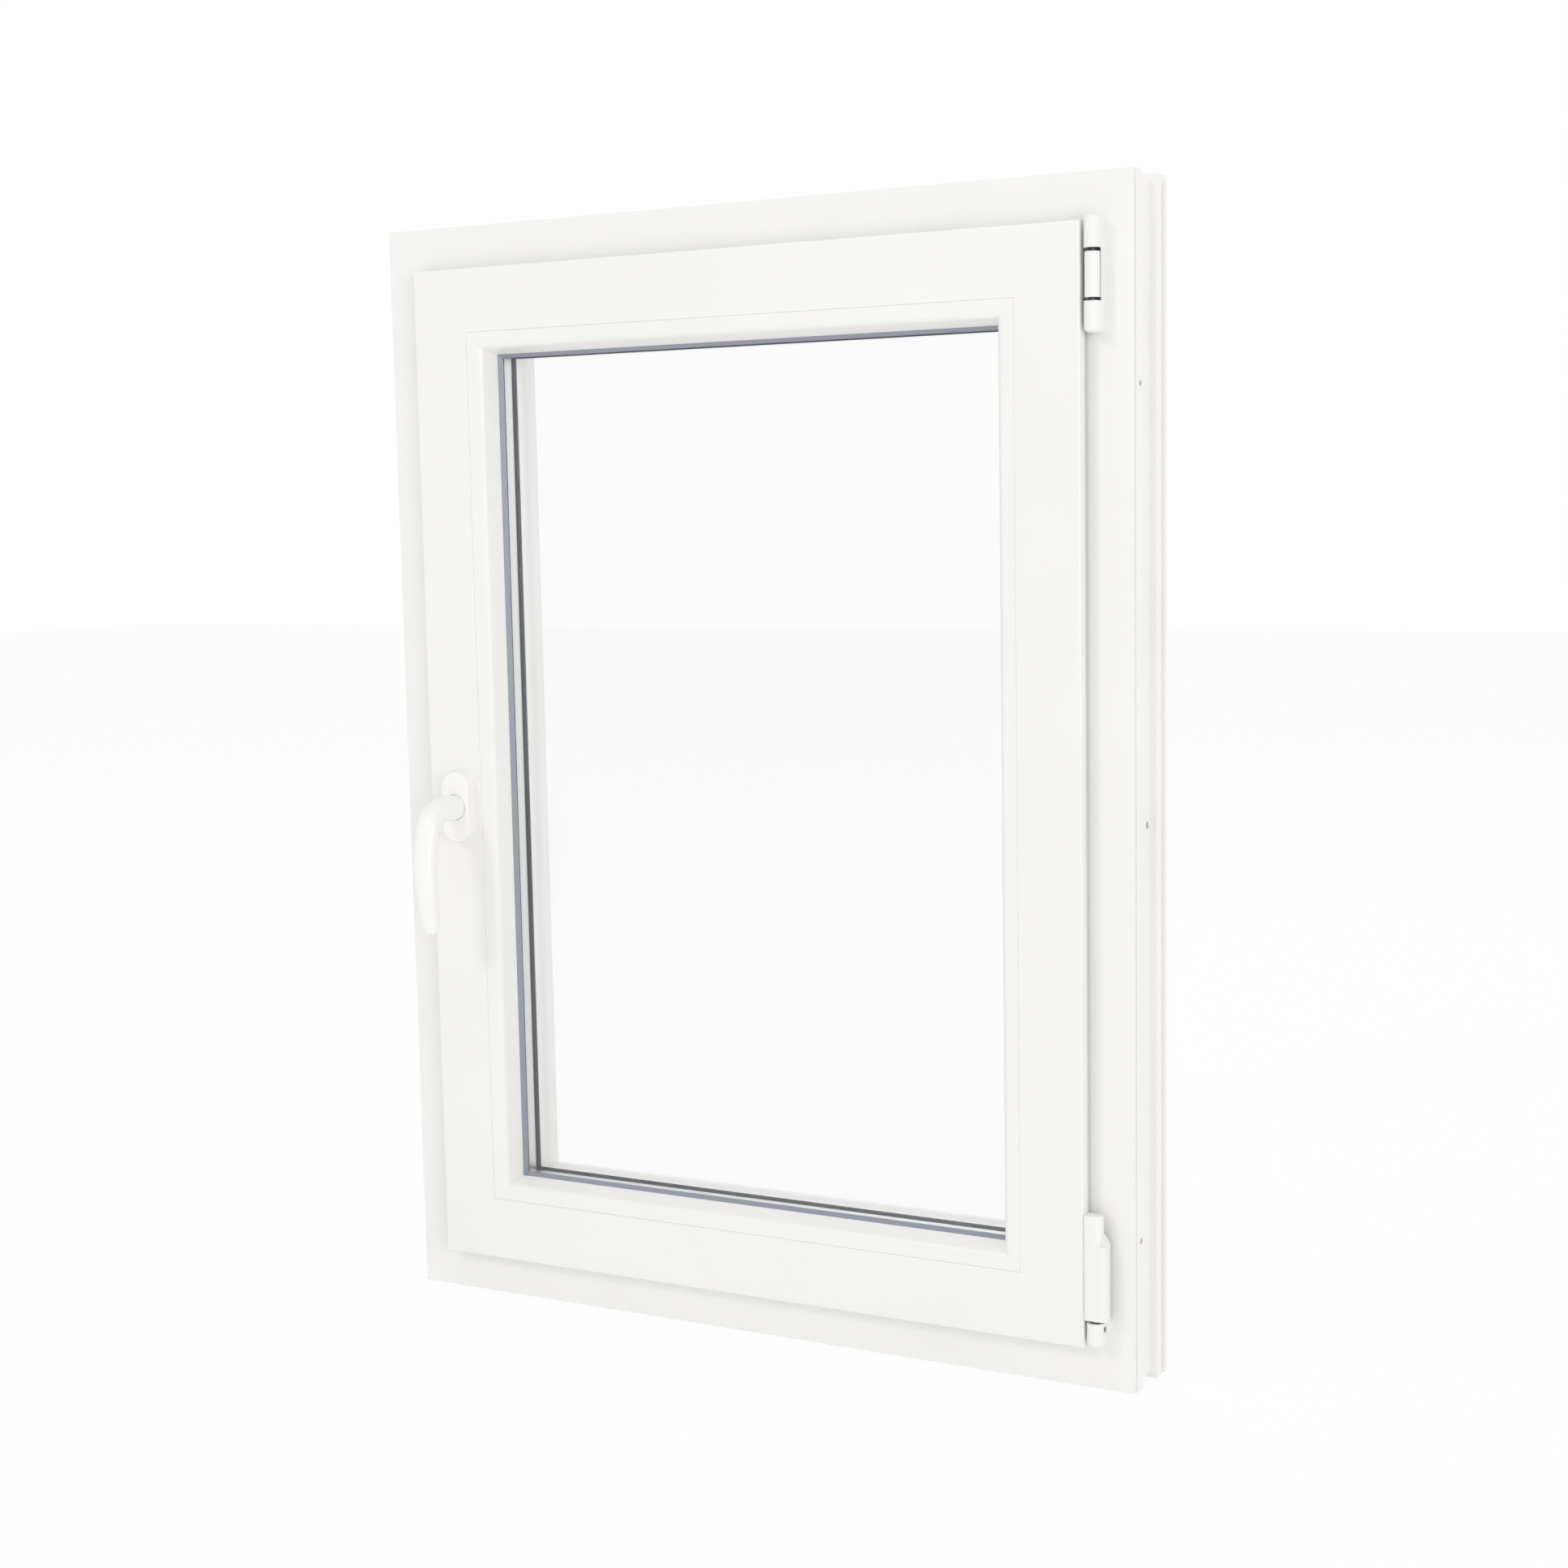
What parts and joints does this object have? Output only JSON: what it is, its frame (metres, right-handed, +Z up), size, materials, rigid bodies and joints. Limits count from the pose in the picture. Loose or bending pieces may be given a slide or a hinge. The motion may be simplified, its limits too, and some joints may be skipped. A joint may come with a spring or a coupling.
{
  "type": "casement window",
  "caption": "White plastic casement window whose glazed sash turns inward on its right-hand hinges or tilts in at the top, worked by one lever handle.",
  "frame": {"origin": "middle of the outer frame's underside, at its room-side edge", "axes": "+X to the right seen from the room, towards the hinges; +Y from the room to the outside; +Z up"},
  "size_m": [0.72, 0.1553, 0.975],
  "materials": {
    "white_pvc": "white window plastic, satin",
    "galvanised_steel": "zinc-coated steel",
    "grey_seal_rubber": "light grey seal",
    "black_seal_rubber": "black seal",
    "white_cover_plastic": "white moulded plastic",
    "white_coated_metal": "white powder coat",
    "clear_glass": "clear float glass",
    "spacer_aluminium": "mill aluminium",
    "block_plastic": "moulded plastic"
  },
  "bodies": {
    "frame": {"frame_head": "white_pvc", "frame_sill": "white_pvc", "frame_jamb_lock": "white_pvc", "frame_jamb_hinge": "white_pvc", "frame_reinforcement": "galvanised_steel", "frame_seal": "grey_seal_rubber", "drain_caps": "white_cover_plastic", "keep_lock_side": "galvanised_steel", "keep_head": "galvanised_steel", "keep_sill": "galvanised_steel", "keep_screws": "galvanised_steel", "stay_bearing": "galvanised_steel", "stay_bearing_covers": "white_cover_plastic", "stay_hinge_pin": "galvanised_steel", "pivot_rest": "galvanised_steel", "pivot_rest_cover": "white_cover_plastic"},
    "pivot_swivel": {"pivot_bush": "block_plastic"},
    "sash": {"sash_top_rail": "white_pvc", "sash_bottom_rail": "white_pvc", "sash_lock_stile": "white_pvc", "sash_hinge_stile": "white_pvc", "sash_reinforcement": "galvanised_steel", "sash_seal": "grey_seal_rubber", "bead_top": "white_pvc", "bead_bottom": "white_pvc", "bead_lock_side": "white_pvc", "bead_hinge_side": "white_pvc", "bead_gasket": "black_seal_rubber", "outer_glazing_gasket": "black_seal_rubber", "inner_pane": "clear_glass", "outer_pane": "clear_glass", "glass_spacer": "spacer_aluminium", "glass_edge_seal": "black_seal_rubber", "glazing_blocks": "block_plastic", "corner_hinge": "galvanised_steel", "corner_hinge_cover": "white_cover_plastic", "gearbox_case": "galvanised_steel", "lock_faceplate": "galvanised_steel", "top_faceplate": "galvanised_steel", "bottom_faceplate": "galvanised_steel", "corner_guides": "galvanised_steel", "rosette_base": "galvanised_steel", "rosette_cover": "white_cover_plastic", "rosette_screws": "galvanised_steel", "corner_hinge_screws": "galvanised_steel", "faceplate_screws": "galvanised_steel"},
    "handle": {"handle_lever": "white_coated_metal", "handle_spindle": "galvanised_steel", "drive_pinion": "galvanised_steel"},
    "lock_drive": {"lock_rod": "galvanised_steel", "lock_cam": "galvanised_steel"},
    "top_drive": {"top_rod": "galvanised_steel", "top_cam": "galvanised_steel"},
    "bottom_drive": {"bottom_rod": "galvanised_steel", "bottom_cam": "galvanised_steel"},
    "stay": {"stay_arm": "galvanised_steel", "stay_arm_cover": "white_cover_plastic", "stay_slide_pin": "galvanised_steel"}
  },
  "joints": [
    {"name": "sash_turn", "type": "hinge", "parent": "frame", "child": "pivot_swivel", "pos_m": [0.331, -0.013, 0.047], "axis": [0, 0, 1], "range_deg": [0, 100]},
    {"name": "sash_tilt", "type": "hinge", "parent": "pivot_swivel", "child": "sash", "pos_m": [0.331, -0.013, 0.047], "axis": [1, 0, 0], "range_deg": [0, 8]},
    {"name": "stay_swing", "type": "hinge", "parent": "pivot_swivel", "child": "stay", "pos_m": [0.331, -0.013, 0.9], "axis": [0, 0, 1], "range_deg": [0, 20.1]},
    {"name": "handle_turn", "type": "hinge", "parent": "sash", "child": "handle", "pos_m": [-0.287, -0.017, 0.458], "axis": [0, -1, 0], "range_deg": [0, 180]},
    {"name": "lock_drive_slide", "type": "slide", "parent": "sash", "child": "lock_drive", "axis": [0, 0, -1], "range_m": [0, 0.029]},
    {"name": "top_drive_slide", "type": "slide", "parent": "sash", "child": "top_drive", "axis": [-1, 0, 0], "range_m": [0, 0.029]},
    {"name": "bottom_drive_slide", "type": "slide", "parent": "sash", "child": "bottom_drive", "axis": [1, 0, 0], "range_m": [0, 0.029]}
  ],
  "couplings": [
    {"joint": "stay_swing", "follows": "sash_tilt", "ratio": 2.5007},
    {"joint": "lock_drive_slide", "follows": "handle_turn", "m_per_rad": 0.0092},
    {"joint": "top_drive_slide", "follows": "handle_turn", "m_per_rad": 0.0092},
    {"joint": "bottom_drive_slide", "follows": "handle_turn", "m_per_rad": 0.0092}
  ]
}
